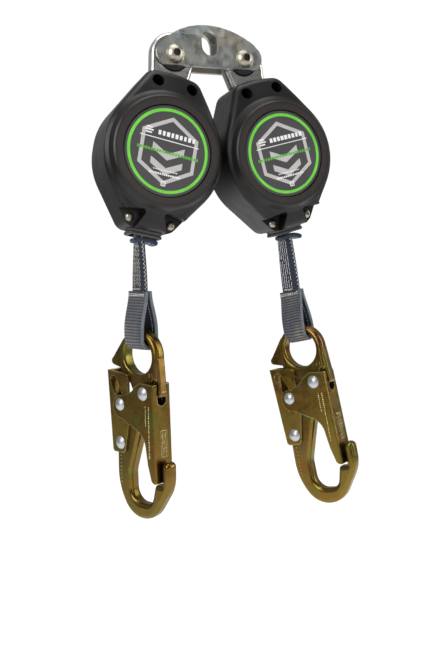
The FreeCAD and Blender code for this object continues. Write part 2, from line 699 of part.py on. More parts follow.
def gate_spring():
    """Torsion spring round the gate rivet, with one leg along the gate's spine."""
    wire = 0.75
    y = (HOOK_T / 2 + GATE_INNER_Y) / 2
    coil = Part.makeTorus(4.7, wire, Vector(0, y, 0), Vector(0, 1, 0))
    leg = Part.makeCylinder(wire - 0.05, 18, Vector(4.7, y, 0), Vector(0.08, 0, -1))
    return coil.fuse(leg).removeSplitter()


# ---------------------------------------------------------------- assembly
def make_side(name, pose):
    sign = pose["sign"]
    bolt = Vector(sign * BOLT_X, 0, BOLT_Z)
    housing = Placement(bolt, Rotation(Vector(0, 1, 0), -sign * SPLAY))

    save("swivel_eye_" + name, swivel_eye(), housing)
    save("swivel_nut_" + name, swivel_nut(), housing)
    save("front_shell_" + name, front_shell(), housing)
    save("rear_shell_" + name, rear_shell(), housing)
    save("label_disc_" + name, label_disc(), housing)
    save("shell_screws_" + name, shell_screws(), housing)
    save("web_nozzle_" + name, web_nozzle(), housing)
    save("inner_frame_" + name, inner_frame(), housing)
    save("shaft_bushes_" + name, shaft_bushes(), housing)
    save("guide_pins_" + name, guide_pins(), housing)
    save("ratchet_ring_" + name, ratchet_ring(), housing)
    save("spring_case_" + name, spring_case(), housing)
    save("power_spring_" + name, power_spring(), housing)
    save("drum_shaft_" + name, drum_shaft(), housing)
    save("web_drum_" + name, web_drum(), housing)
    save("web_coil_" + name, web_coil(), housing)
    save("pawl_upper_" + name, pawl(0), housing)
    save("pawl_lower_" + name, pawl(1), housing)

    exit_point = housing.multVec(Vector(pose["exit"], 0, EXIT_Z))
    leader = Placement(exit_point, Rotation(Vector(0, 1, 0), -sign * pose["lean"]))
    save("web_leader_" + name, web_leader(pose["leader"]), leader)
    save("web_stop_" + name, web_stop(), leader)

    apex = leader.multVec(Vector(0, 0, -pose["leader"]))
    turn = Rotation(Vector(0, 0, 1), pose["yaw"]).multiply(Rotation(Vector(0, 1, 0), pose["roll"]))
    apex_on_hook = Vector(HOOK_EYE[0], 0, HOOK_EYE[1] + LOOP_RISE)
    hook = Placement(apex - turn.multVec(apex_on_hook), turn)
    save("web_loop_" + name, web_loop(pose["sag"]), hook)
    save("hook_body_" + name, hook_body(), hook)
    save("hook_rivets_" + name, hook_rivets(), hook)
    save("hook_gate_" + name, hook_gate(), hook)
    save("lobe_rivet_" + name, lobe_rivet(), hook)
    save("gate_spring_" + name, gate_spring(), hook)
    save("lock_lever_" + name, lock_lever(), hook)


make_bracket()
for side_name, side_pose in SIDES.items():
    make_side(side_name, side_pose)
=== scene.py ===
import math
import random

import bpy
from mathutils import Matrix, Vector


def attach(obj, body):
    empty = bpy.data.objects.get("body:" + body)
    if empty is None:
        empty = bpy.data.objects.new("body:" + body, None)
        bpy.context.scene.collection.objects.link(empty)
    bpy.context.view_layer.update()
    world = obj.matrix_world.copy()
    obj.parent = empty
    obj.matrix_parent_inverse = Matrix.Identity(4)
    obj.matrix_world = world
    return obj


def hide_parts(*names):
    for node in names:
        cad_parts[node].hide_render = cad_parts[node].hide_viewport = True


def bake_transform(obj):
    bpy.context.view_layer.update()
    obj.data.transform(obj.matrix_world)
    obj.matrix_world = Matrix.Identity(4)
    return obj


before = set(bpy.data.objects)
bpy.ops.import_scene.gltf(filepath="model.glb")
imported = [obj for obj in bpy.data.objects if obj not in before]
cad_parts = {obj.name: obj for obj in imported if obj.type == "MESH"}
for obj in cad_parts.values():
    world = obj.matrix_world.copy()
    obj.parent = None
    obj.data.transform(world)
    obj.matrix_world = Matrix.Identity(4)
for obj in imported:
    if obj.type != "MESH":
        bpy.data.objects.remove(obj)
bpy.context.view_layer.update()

MM = 0.001
rng = random.Random(7)

# ---------------------------------------------------------------- where things are (mm)
# Places are as in the CAD; the web's widths leave room for its edges and stitches.
BOLT_X, BOLT_Z, SPLAY, RING_Z, EXIT_Z = 27.4, -9.6, 13.4, -75.6, -128.0
NOZZLE_Z = -129.2
EYE_X, EYE_Z, LOOP_RISE = -8.6, 26.4, 46.0
INNER_WEB_W, LEADER_W = 12.2, 15.0
WEB_INSIDE = 12.0      # length of leader hidden above the nozzle
SIDES = {
    "left": {"sign": -1, "lean": 2.6, "leader": 45.5, "yaw": -62.0, "roll": 3.1, "exit": -3.6,
             "sag": 1.8, "facing": (90.0, 72.0), "thick": (4.4, 5.6), "ear": 0.0},
    "right": {"sign": 1, "lean": 5.1, "leader": 51.7, "yaw": -59.0, "roll": -9.3, "exit": 0.0,
              "sag": 0.0, "facing": (81.0, 62.0), "thick": (6.2, 8.4), "ear": 0.13},
}


def turn(degrees, axis):
    return Matrix.Rotation(math.radians(degrees), 4, axis)


for pose in SIDES.values():
    sign = pose["sign"]
    pose["housing"] = Matrix.Translation((sign * BOLT_X, 0, BOLT_Z)) @ turn(-sign * SPLAY, "Y")
    exit_point = pose["housing"] @ Vector((pose["exit"], 0, EXIT_Z))
    pose["line"] = Matrix.Translation(exit_point) @ turn(-sign * pose["lean"], "Y")
    apex = pose["line"] @ Vector((0, 0, -pose["leader"]))
    spin = turn(pose["yaw"], "Z") @ turn(pose["roll"], "Y")
    pose["hook"] = Matrix.Translation(apex - spin @ Vector((EYE_X, 0, EYE_Z + LOOP_RISE))) @ spin


# ---------------------------------------------------------------- material helper
class Look:
    """A Principled material built from procedural nodes."""

    def __init__(self, name, metallic=0.0, roughness=0.5, **sockets):
        self.material = bpy.data.materials.new(name)
        self.material.use_nodes = True
        self.tree = self.material.node_tree
        self.bsdf = self.tree.nodes["Principled BSDF"]
        self.bsdf.inputs["Metallic"].default_value = metallic
        self.bsdf.inputs["Roughness"].default_value = roughness
        for key, value in sockets.items():
            self.bsdf.inputs[key.replace("_", " ")].default_value = value
        texcoord = self.tree.nodes.new("ShaderNodeTexCoord")
        self.where = texcoord.outputs["Object"]
        self.uv = texcoord.outputs["UV"]

    def put(self, socket, value):
        if isinstance(value, bpy.types.NodeSocket):
            self.tree.links.new(value, socket)
        else:
            socket.default_value = value

    def math(self, operation, a, b=0.0, clamp=False):
        node = self.tree.nodes.new("ShaderNodeMath")
        node.operation = operation
        node.use_clamp = clamp
        self.put(node.inputs[0], a)
        self.put(node.inputs[1], b)
        return node.outputs[0]

    def noise(self, scale, detail=3.0, rough=0.55, where=None, stretch=None, distortion=0.0):
        where = where or self.where
        if stretch:
            scaled = self.tree.nodes.new("ShaderNodeVectorMath")
            scaled.operation = "MULTIPLY"
            self.put(scaled.inputs[0], where)
            scaled.inputs[1].default_value = stretch
            where = scaled.outputs[0]
        node = self.tree.nodes.new("ShaderNodeTexNoise")
        self.put(node.inputs["Vector"], where)
        node.inputs["Scale"].default_value = scale
        node.inputs["Detail"].default_value = detail
        node.inputs["Roughness"].default_value = rough
        node.inputs["Distortion"].default_value = distortion
        return node.outputs["Fac"]

    def ramp(self, value, *stops):
        node = self.tree.nodes.new("ShaderNodeValToRGB")
        elements = node.color_ramp.elements
        while len(elements) < len(stops):
            elements.new(0.5)
        for element, (position, colour) in zip(elements, stops):
            element.position = position
            element.color = (*colour, 1.0)
        self.put(node.inputs[0], value)
        return node.outputs[0]

    def mix(self, share, a, b, blend="MIX"):
        node = self.tree.nodes.new("ShaderNodeMix")
        node.data_type = "RGBA"
        node.blend_type = blend
        self.put(node.inputs[0], share)
        self.put(node.inputs[6], a if isinstance(a, bpy.types.NodeSocket) else (*a, 1.0))
        self.put(node.inputs[7], b if isinstance(b, bpy.types.NodeSocket) else (*b, 1.0))
        return node.outputs[2]

    def remap(self, value, low, high, to_low=0.0, to_high=1.0, smooth=True):
        node = self.tree.nodes.new("ShaderNodeMapRange")
        node.interpolation_type = "SMOOTHSTEP" if smooth else "LINEAR"
        self.put(node.inputs["Value"], value)
        node.inputs["From Min"].default_value = low
        node.inputs["From Max"].default_value = high
        node.inputs["To Min"].default_value = to_low
        node.inputs["To Max"].default_value = to_high
        return node.outputs[0]

    def split(self, vector):
        node = self.tree.nodes.new("ShaderNodeSeparateXYZ")
        self.put(node.inputs[0], vector)
        return node.outputs

    def inside(self, matrix):
        """Row coordinates turned into a part's own frame; the matrix is in millimetres."""
        node = self.tree.nodes.new("ShaderNodeMapping")
        node.vector_type = "TEXTURE"
        self.put(node.inputs["Vector"], self.where)
        node.inputs["Location"].default_value = matrix.translation * MM
        node.inputs["Rotation"].default_value = matrix.to_euler()
        return node.outputs[0]

    def edges(self, radius):
        """1 on corners sharper than the radius, 0 on open faces."""
        bevel = self.tree.nodes.new("ShaderNodeBevel")
        bevel.samples = 6
        bevel.inputs["Radius"].default_value = radius
        face = self.tree.nodes.new("ShaderNodeNewGeometry")
        both = self.tree.nodes.new("ShaderNodeVectorMath")
        both.operation = "DOT_PRODUCT"
        self.put(both.inputs[0], bevel.outputs[0])
        self.put(both.inputs[1], face.outputs["Normal"])
        return self.remap(both.outputs["Value"], 0.985, 0.86)

    def bump(self, height, distance, strength=1.0, below=None):
        node = self.tree.nodes.new("ShaderNodeBump")
        node.inputs["Strength"].default_value = strength
        node.inputs["Distance"].default_value = distance
        self.put(node.inputs["Height"], height)
        if below is not None:
            self.put(node.inputs["Normal"], below)
        return node.outputs[0]

    def finish(self, colour=None, roughness=None, normal=None):
        if colour is not None:
            self.put(self.bsdf.inputs["Base Color"], colour)
        if roughness is not None:
            self.put(self.bsdf.inputs["Roughness"], roughness)
        if normal is not None:
            self.put(self.bsdf.inputs["Normal"], normal)
        return self.material


# ---------------------------------------------------------------- materials
def zinc_plate():
    """Clear blue zinc on rolled plate, with warm stains and fine scratches."""
    look = Look("zinc_plate", 1.0)
    blotch = look.noise(55, 4, 0.6)
    warm = look.noise(60, 2, 0.5, distortion=0.3)
    fine = look.noise(700, 3, 0.6, stretch=(1.0, 1.0, 0.25))
    colour = look.ramp(blotch, (0.30, (0.42, 0.47, 0.47)), (0.50, (0.58, 0.60, 0.56)),
                       (0.72, (0.64, 0.60, 0.50)))
    stain = look.ramp(warm, (0.45, (0.0, 0.0, 0.0)), (0.80, (0.70, 0.70, 0.70)))
    colour = look.mix(stain, colour, (0.60, 0.52, 0.36))
    colour = look.mix(look.remap(fine, 0.45, 0.75, 0.0, 0.22), colour, (0.34, 0.35, 0.32))
    rough = look.remap(look.noise(160, 4), 0.3, 0.7, 0.26, 0.44)
    return look.finish(colour, rough, look.bump(fine, 0.00003, 0.15))


def polished_steel():
    look = Look("polished_steel", 1.0)
    colour = look.ramp(look.noise(70, 3), (0.3, (0.50, 0.48, 0.465)), (0.7, (0.62, 0.60, 0.58)))
    rough = look.remap(look.noise(420, 4), 0.35, 0.75, 0.27, 0.36)
    return look.finish(colour, rough, look.bump(look.noise(900, 2), 0.00001, 0.15))


def stainless():
    """Satin stainless; the centres of the two bolt heads on the bracket carry a dark disc, painted shade
    standing in for the shaded hex sockets.
    """
    look = Look("stainless", 1.0)
    colour = look.ramp(look.noise(120, 3), (0.3, (0.26, 0.225, 0.18)), (0.6, (0.42, 0.385, 0.32)),
                       (0.8, (0.50, 0.455, 0.38)))
    x, _, z = look.split(look.where)
    across = look.math("SUBTRACT", look.math("ABSOLUTE", x), BOLT_X * MM)
    down = look.math("SUBTRACT", z, BOLT_Z * MM)
    radius = look.math("SQRT", look.math("ADD", look.math("MULTIPLY", across, across),
                                         look.math("MULTIPLY", down, down)))
    # painted shade: a dark disc round each bracket bolt axis stands in for the shaded hex socket
    colour = look.mix(look.remap(radius, 0.0029, 0.0024), colour, (0.10, 0.092, 0.080))
    rough = look.remap(look.noise(900, 3), 0.3, 0.7, 0.34, 0.46)
    return look.finish(colour, rough, look.bump(look.noise(1500, 2), 0.00003, 0.3))


def plain_metal(name, dark, light, low, high):
    """Inner machined or sintered metal: two tones, streaks and a brushed bump."""
    look = Look(name, 1.0)
    streak = look.noise(500, 4, 0.6, stretch=(0.15, 1.0, 1.0))
    colour = look.ramp(streak, (0.3, dark), (0.7, light))
    rough = look.remap(look.noise(300, 3), 0.3, 0.7, low, high)
    return look.finish(colour, rough, look.bump(streak, 0.00004, 0.4))


def yellow_zinc(name, shade, wear=0.0011):
    """Yellow chromate over zinc: olive, gold and brown with pink and green drifts.

    Corners sharper than wear, in metres, are brightened: a painted highlight standing in for light on the
    rounded edges, partly rubbed wear too.
    """
    look = Look(name, 1.0)
    broad = look.noise(30, 2, 0.5, distortion=0.8)
    drift = look.noise(52, 2, 0.5, distortion=0.6)
    colour = look.ramp(broad, (0.30, (0.36, 0.185, 0.060)), (0.44, (0.42, 0.250, 0.060)),
                       (0.56, (0.39, 0.275, 0.066)), (0.70, (0.29, 0.215, 0.060)))
    pink = look.remap(drift, 0.54, 0.74, 0.0, 0.5)
    colour = look.mix(pink, colour, (0.50, 0.25, 0.14))
    green = look.remap(look.noise(47, 2, 0.5), 0.55, 0.74, 0.0, 0.55)
    colour = look.mix(green, colour, (0.27, 0.34, 0.085))
    mottle = look.noise(900, 3, 0.55)
    colour = look.mix(look.remap(mottle, 0.40, 0.80, 0.0, 0.12), colour, (0.16, 0.11, 0.05))
    colour = look.mix(1.0, colour, (shade, shade, shade * 0.85), "MULTIPLY")
    # painted highlight along sharp corners for light caught by rounded edges, partly rubbed wear
    worn = look.math("MULTIPLY", look.edges(wear), look.remap(drift, 0.35, 0.55, 0.55, 0.95))
    colour = look.mix(worn, colour, (0.74, 0.64, 0.34))
    rough = look.remap(look.noise(150, 3), 0.3, 0.7, 0.25, 0.36)
    normal = look.bump(mottle, 0.00003, 0.12)
    return look.finish(colour, rough, look.bump(look.noise(120, 2), 0.00010, 0.10, normal))


def bright_rivet():
    look = Look("bright_rivet", 1.0)
    colour = look.ramp(look.noise(650, 4), (0.3, (0.34, 0.35, 0.36)), (0.7, (0.50, 0.51, 0.52)))
    rough = look.remap(look.noise(800, 3), 0.3, 0.7, 0.36, 0.48)
    return look.finish(colour, rough, look.bump(look.noise(700, 3), 0.00004, 0.35))


def shell_plastic(name, pose):
    """Fine-grained black plastic; the bezel is a shade lighter and the halves' seam is dark."""
    look = Look(name, 0.0, 0.42, IOR=1.4, Specular_IOR_Level=0.40)
    ring = pose["housing"] @ Matrix.Translation((0, 0, RING_Z))
    x, y, z = look.split(look.inside(ring))
    radius = look.math("SQRT", look.math("ADD", look.math("MULTIPLY", x, x),
                                         look.math("MULTIPLY", z, z)))
    bezel = look.math("MULTIPLY", look.remap(radius, 0.0386, 0.0350),
                      look.remap(y, -0.0280, -0.0292))
    tone = look.noise(28, 3, 0.5)
    colour = look.ramp(tone, (0.3, (0.0045, 0.0040, 0.0038)), (0.7, (0.0080, 0.0070, 0.0066)))
    colour = look.mix(bezel, colour, (0.030, 0.026, 0.024))
    seam = look.remap(look.math("ABSOLUTE", y), 0.00035, 0.00012)
    colour = look.mix(seam, colour, (0.002, 0.002, 0.002))
    dust = look.remap(look.noise(1700, 2, 0.5), 0.74, 0.80, 0.0, 0.5)
    colour = look.mix(dust, colour, (0.12, 0.11, 0.10))
    rough = look.remap(look.noise(60, 4), 0.3, 0.7, 0.33, 0.42)
    grain = look.noise(2600, 2, 0.5)
    normal = look.bump(grain, 0.00004, 0.35)
    normal = look.bump(look.math("SUBTRACT", 1.0, seam), 0.0002, 0.8, normal)
    return look.finish(colour, rough, normal)


def label_face(name, pose):
    """Dark printed disc with a bright green ring."""
    look = Look(name, 0.0, 0.42)
    ring = pose["housing"] @ Matrix.Translation((0, 0, RING_Z))
    x, _, z = look.split(look.inside(ring))
    radius = look.math("SQRT", look.math("ADD", look.math("MULTIPLY", x, x),
                                         look.math("MULTIPLY", z, z)))
    green = look.math("MULTIPLY", look.remap(radius, 0.02690, 0.02702),
                      look.remap(radius, 0.02912, 0.02900))
    print_dots = look.noise(2200, 2, 0.5)
    colour = look.ramp(print_dots, (0.3, (0.045, 0.042, 0.043)), (0.7, (0.062, 0.058, 0.059)))
    bright = look.ramp(look.noise(120, 2), (0.3, (0.115, 0.52, 0.035)), (0.7, (0.17, 0.62, 0.06)))
    colour = look.mix(green, colour, bright)
    rough = look.remap(look.noise(90, 3), 0.3, 0.7, 0.36, 0.46)
    return look.finish(colour, rough, look.bump(print_dots, 0.00002, 0.3))


def print_ink(name, dark, light):
    look = Look(name, 0.0, 0.45)
    grain = look.noise(1800, 3, 0.6)
    colour = look.ramp(grain, (0.3, dark), (0.7, light))
    return look.finish(colour, look.remap(grain, 0.3, 0.7, 0.38, 0.52), look.bump(grain, 0.00001, 0.3))


def moulded(name, dark, light, low, high):
    """Nylon or rubber mouldings: slight tone drift and a pebbled skin."""
    look = Look(name, 0.0, 0.5)
    colour = look.ramp(look.noise(80, 3), (0.3, dark), (0.7, light))
    rough = look.remap(look.noise(200, 3), 0.3, 0.7, low, high)
    return look.finish(colour, rough, look.bump(look.noise(1900, 3, 0.6), 0.00006, 0.4))


def webbing(name, dark, light, fleck, run=0.0015, pick=0.0011):
    """Herringbone web; UV is in metres, U across and V along."""
    look = Look(name, 0.0, 0.85, Sheen_Weight=0.10, Sheen_Roughness=0.5)
    u, v, _ = look.split(look.uv)
    across = look.math("MULTIPLY", u, 2 * math.pi / run)
    along = look.math("MULTIPLY", v, 2 * math.pi / pick)
    half = look.math("SIGN", look.math("SINE", look.math("MULTIPLY", u, math.pi / 0.0031)))
    twill = look.math("SINE", look.math("ADD", across, look.math("MULTIPLY", along, half)))
    yarn = look.math("SINE", look.math("MULTIPLY", v, 2 * math.pi / (pick * 0.5)))
    height = look.math("ADD", look.math("MULTIPLY", twill, 0.5), look.math("MULTIPLY", yarn, 0.18))
    blotch = look.noise(260, 4, 0.6)
    colour = look.mix(look.remap(twill, -0.7, 0.8), dark, light)
    colour = look.mix(look.remap(look.noise(2100, 3, 0.7), 0.56, 0.70, 0.0, 0.7), colour, fleck)
    colour = look.mix(look.remap(blotch, 0.35, 0.75, 0.0, 0.45), colour, dark)
    return look.finish(colour, None, look.bump(height, 0.00022, 0.8))


def plain_run(name):
    """Web that is drawn off the drum: the weave follows the row frame, so it never stretches."""
    look = Look(name, 0.0, 0.85, Sheen_Weight=0.25, Sheen_Roughness=0.5)
    _, y, z = look.split(look.where)
    rib = look.math("SINE", look.math("MULTIPLY", z, 2 * math.pi / 0.0016))
    warp = look.math("SINE", look.math("MULTIPLY", y, 2 * math.pi / 0.0014))
    weave = look.math("MULTIPLY", rib, warp)
    colour = look.mix(look.remap(weave, -0.6, 0.8), (0.012, 0.020, 0.050), (0.045, 0.070, 0.14))
    return look.finish(colour, None, look.bump(weave, 0.0002, 0.7))


def sleeve_cloth(name):
    """Ribbed wear sleeve: grey-brown ridges over dark grooves, worn unevenly."""
    look = Look(name, 0.0, 0.85, Sheen_Weight=0.14, Sheen_Roughness=0.5)
    u, v, _ = look.split(look.uv)
    wave = look.math("ADD", v, look.math("MULTIPLY", look.noise(55, 2), 0.0016))
    rib = look.math("SINE", look.math("MULTIPLY", wave, 2 * math.pi / 0.0021))
    warp = look.math("SINE", look.math("MULTIPLY", u, 2 * math.pi / 0.0008))
    height = look.math("ADD", look.math("MULTIPLY", rib, 0.6), look.math("MULTIPLY", warp, 0.16))
    worn = look.noise(70, 4, 0.6, stretch=(1.0, 1.0, 0.35))
    ridge = look.ramp(worn, (0.35, (0.060, 0.066, 0.080)), (0.55, (0.135, 0.125, 0.112)),
                      (0.75, (0.24, 0.215, 0.18)))
    groove = look.ramp(worn, (0.35, (0.018, 0.025, 0.045)), (0.75, (0.045, 0.048, 0.055)))
    colour = look.mix(look.remap(rib, -0.7, 0.6), groove, ridge)
    colour = look.mix(look.remap(look.noise(1900, 3, 0.7), 0.58, 0.72, 0.0, 0.5), colour,
                      (0.26, 0.25, 0.23))
    return look.finish(colour, None, look.bump(height, 0.0004, 0.9))


def thread(name, dark, light):
    look = Look(name, 0.0, 0.7, Sheen_Weight=0.3, Sheen_Roughness=0.4)
    tone = look.noise(900, 3, 0.6)
    colour = look.ramp(tone, (0.3, dark), (0.7, light))
    return look.finish(colour, None, look.bump(look.noise(4200, 2), 0.00008, 0.6))


ZINC = zinc_plate()
POLISHED = polished_steel()
STAINLESS = stainless()
FRAME_STEEL = plain_metal("frame_steel", (0.32, 0.32, 0.31), (0.52, 0.52, 0.50), 0.32, 0.48)
SPRING_STEEL = plain_metal("spring_steel", (0.16, 0.18, 0.22), (0.34, 0.36, 0.40), 0.25, 0.38)
BRONZE = plain_metal("bronze", (0.38, 0.24, 0.11), (0.56, 0.38, 0.20), 0.35, 0.5)
CAST_ALLOY = plain_metal("cast_alloy", (0.52, 0.53, 0.54), (0.70, 0.71, 0.72), 0.42, 0.58)
# Left and right copies differ only in brightness: painted light and shade matched to each hook, with the
# right copies lighter.
BODY_ZINC = {name: yellow_zinc("yellow_zinc_forging_" + name, shade)
             for name, shade in (("left", 0.38), ("right", 0.43))}
SHEET_ZINC = {name: yellow_zinc("yellow_zinc_sheet_" + name, shade)
              for name, shade in (("left", 0.54), ("right", 0.66))}
# painted shade: the gate gets a darker copy of the sheet zinc to cancel the key light falling on it
GATE_ZINC_PAINTED_SHADE = {name: yellow_zinc("yellow_zinc_gate_painted_shade_" + name, shade)
             for name, shade in (("left", 0.40), ("right", 0.52))}
RIVET = bright_rivet()
NYLON = moulded("black_nylon", (0.012, 0.012, 0.013), (0.024, 0.023, 0.023), 0.38, 0.52)
LIP = moulded("nozzle_lip", (0.024, 0.023, 0.024), (0.052, 0.047, 0.044), 0.34, 0.48)
NAVY = webbing("navy_web", (0.005, 0.007, 0.015), (0.022, 0.030, 0.058), (0.10, 0.11, 0.14))
NAVY_STOP = webbing("navy_stop", (0.004, 0.007, 0.022), (0.022, 0.040, 0.100), (0.06, 0.09, 0.17))
EDGE_WEB = webbing("pale_edge", (0.06, 0.07, 0.09), (0.22, 0.24, 0.28), (0.45, 0.45, 0.45),
                   0.0012, 0.0016)
DRAWN_WEB = plain_run("drawn_web")
SLEEVE = sleeve_cloth("ribbed_sleeve")
BEIGE = thread("beige_thread", (0.26, 0.24, 0.19), (0.58, 0.55, 0.47))
PALE = thread("pale_thread", (0.42, 0.42, 0.42), (0.80, 0.80, 0.79))
GREY_INK = print_ink("grey_print", (0.42, 0.41, 0.40), (0.50, 0.49, 0.48))
WHITE_INK = print_ink("white_print", (0.72, 0.72, 0.71), (0.84, 0.84, 0.83))
GREEN_INK = print_ink("green_print", (0.075, 0.36, 0.03), (0.11, 0.44, 0.04))
ETCH = yellow_zinc("etched_mark", 0.9, 0.0002)
FORGED_MARK = yellow_zinc("forged_mark", 0.62, 0.0002)


def dress(node, material):
    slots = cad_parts[node].data.materials
    slots.clear()
    slots.append(material)


for node in ("bracket_front_plate", "bracket_rear_plate"):
    dress(node, ZINC)
for node in ("bracket_bolts", "bracket_nuts"):
    dress(node, STAINLESS)
dress("eye_bushings", NYLON)
for name, pose in SIDES.items():
    shell = shell_plastic("black_shell_" + name, pose)
    finishes = {
        "swivel_eye": POLISHED, "swivel_nut": STAINLESS, "front_shell": shell, "rear_shell": shell,
        "label_disc": label_face("label_" + name, pose), "shell_screws": STAINLESS,
        "web_nozzle": LIP, "inner_frame": FRAME_STEEL, "shaft_bushes": BRONZE,
        "guide_pins": STAINLESS, "ratchet_ring": FRAME_STEEL, "spring_case": NYLON,
        "power_spring": SPRING_STEEL, "drum_shaft": STAINLESS, "web_drum": CAST_ALLOY,
        "web_coil": DRAWN_WEB, "pawl_upper": FRAME_STEEL, "pawl_lower": FRAME_STEEL,
        "web_leader": NAVY, "web_stop": NAVY_STOP, "web_loop": SLEEVE,
        "hook_body": BODY_ZINC[name], "hook_rivets": RIVET, "hook_gate": GATE_ZINC_PAINTED_SHADE[name],
        "lobe_rivet": RIVET, "gate_spring": SPRING_STEEL, "lock_lever": SHEET_ZINC[name],
    }
    for node, material in finishes.items():
        dress(node + "_" + name, material)


# ---------------------------------------------------------------- mesh helpers (mm in, metres out)
def piece(name, vertices, faces, matrix, materials, body, uvs=None, choose=None):
    """One mesh object in the row frame, riding on a body."""
    mesh = bpy.data.meshes.new(name)
    mesh.from_pydata([tuple((matrix @ Vector(v)) * MM) for v in vertices], [], faces)
    if uvs:
        layer = mesh.uv_layers.new(name="UVMap")
        for polygon in mesh.polygons:
            for corner, loop in enumerate(polygon.loop_indices):
                layer.data[loop].uv = uvs[polygon.index][corner]
    for material in materials:
        mesh.materials.append(material)
    for polygon in mesh.polygons:
        polygon.use_smooth = True
        if choose:
            polygon.material_index = choose[polygon.index]
    obj = bpy.data.objects.new(name, mesh)
    bpy.context.scene.collection.objects.link(obj)
    if body:
        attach(obj, body)
    return obj


def loft(rings, closed_path=False, caps=True):
    """Vertices, faces, UVs in metres and each face's place round the ring."""
    count = len(rings[0])
    vertices = [tuple(p) for ring in rings for p in ring]
    round_length = [0.0]
    for index in range(count):
        step = Vector(rings[0][(index + 1) % count]) - Vector(rings[0][index])
        round_length.append(round_length[-1] + step.length)
    path_length = [0.0]
    for index in range(len(rings) - 1):
        middle = sum((Vector(b) - Vector(a) for a, b in zip(rings[index], rings[index + 1])),
                     Vector()) / count
        path_length.append(path_length[-1] + max(middle.length, 0.01))
    faces, uvs, places = [], [], []
    spans = len(rings) if closed_path else len(rings) - 1
    for row in range(spans):
        after = (row + 1) % len(rings)
        v0 = path_length[row] * MM
        v1 = (path_length[row + 1] if row + 1 < len(rings) else path_length[row] + 1.0) * MM
        for index in range(count):
            beyond = (index + 1) % count
            faces.append((row * count + index, row * count + beyond,
                          after * count + beyond, after * count + index))
            u0, u1 = round_length[index] * MM, round_length[index + 1] * MM
            uvs.append(((u0, v0), (u1, v0), (u1, v1), (u0, v1)))
            places.append(index)
    if caps and not closed_path:
        for start, order in ((0, -1), ((len(rings) - 1) * count, 1)):
            loop = [start + index for index in range(count)][::order]
            faces.append(tuple(loop))
            uvs.append(tuple((rings[0][i % count][0] * MM, rings[0][i % count][1] * MM)
                             for i in loop))
            places.append(-1)
    return vertices, faces, uvs, places


def strap_section(width, thickness, lift=0.0, columns=9):
    """Closed outline of a web: faces slightly crowned, edges rounded. Starts on the -thickness face."""
    points = []
    for index in range(columns):
        share = -1 + 2 * index / (columns - 1)
        crown = lift * (1 - share * share)
        points.append((share * (width / 2 - thickness * 0.32), -thickness / 2 - crown))
    points += [(width / 2 - 0.1 * thickness, -thickness * 0.3), (width / 2, 0.0),
               (width / 2 - 0.1 * thickness, thickness * 0.3)]
    for index in range(columns):
        share = 1 - 2 * index / (columns - 1)
        crown = lift * (1 - share * share)
        points.append((share * (width / 2 - thickness * 0.32), thickness / 2 + crown))
    points += [(-width / 2 + 0.1 * thickness, thickness * 0.3), (-width / 2, 0.0),
               (-width / 2 + 0.1 * thickness, -thickness * 0.3)]
    return points


def thread_mesh(stitches, radius):
    """Each stitch is a short arched thread: (start, end, outward)."""
    vertices, faces = [], []
    for start, end, outward in stitches:
        start, end, outward = Vector(start), Vector(end), Vector(outward).normalized()
        run = (end - start).normalized()
        side = run.cross(outward).normalized()
        base = len(vertices)
        for share, rise, swell in ((0.0, -0.25, 0.7), (0.22, 0.10, 1.0), (0.78, 0.10, 1.0),
                                   (1.0, -0.25, 0.7)):
            centre = start.lerp(end, share) + outward * rise
            for corner in range(6):
                angle = math.pi * corner / 3
                vertices.append(tuple(centre + (side * math.cos(angle)
                                                + outward * math.sin(angle)) * radius * swell))
        for ring in range(3):
            for corner in range(6):
                a = base + ring * 6 + corner
                b = base + ring * 6 + (corner + 1) % 6
                faces.append((a, b, b + 6, a + 6))
    return vertices, faces


# ---------------------------------------------------------------- label print
def plate(outline, y0, y1):
    """A thin printed shape: an outline in X and Z with a little thickness."""
    count = len(outline)
    vertices = [(x, y0, z) for x, z in outline] + [(x, y1, z) for x, z in outline]
    faces = [tuple(range(count)), tuple(range(2 * count - 1, count - 1, -1))]
    for index in range(count):
        beyond = (index + 1) % count
        faces.append((index, index + count, beyond + count, beyond))
    return vertices, faces


def joined(parts):
    vertices, faces = [], []
    for part_vertices, part_faces in parts:
        base = len(vertices)
        vertices += part_vertices
        faces += [tuple(base + i for i in face) for face in part_faces]
    return vertices, faces


def bar(x, z, width, height, y0, y1, cut=0.25):
    """A plain bar with clipped corners."""
    half_w, half_h = width / 2, height / 2
    cut = min(cut, half_h * 0.6)
    outline = [(x - half_w + cut, z - half_h), (x + half_w - cut, z - half_h),
               (x + half_w, z - half_h + cut), (x + half_w, z + half_h - cut),
               (x + half_w - cut, z + half_h), (x - half_w + cut, z + half_h),
               (x - half_w, z + half_h - cut), (x - half_w, z - half_h + cut)]
    return plate(outline, y0, y1)


def hexagon_side(index, outer, inner, y0, y1):
    corners = []
    for radius, step in ((outer, 0), (outer, 1), (inner, 1), (inner, 0)):
        angle = math.radians(90 + 60 * (index + step))
        corners.append((radius * math.cos(angle), radius * math.sin(angle)))
    return plate(corners, y0, y1)


def chevron(z, half, thick, drop, y0, y1):
    return [plate([(0, z), (half, z + drop), (half, z + drop + thick), (0, z + thick)][::-1], y0, y1),
            plate([(-half, z + drop), (0, z), (0, z + thick), (-half, z + drop + thick)][::-1],
                  y0, y1)]


def row_of_blocks(x0, x1, z, height, count, y0, y1):
    """A line of plain blocks of uneven width, evenly spread."""
    pitch = (x1 - x0) / count
    return [bar(x0 + pitch * (index + 0.5), z, pitch * rng.uniform(0.55, 0.82), height, y0, y1, 0.12)
            for index in range(count)]


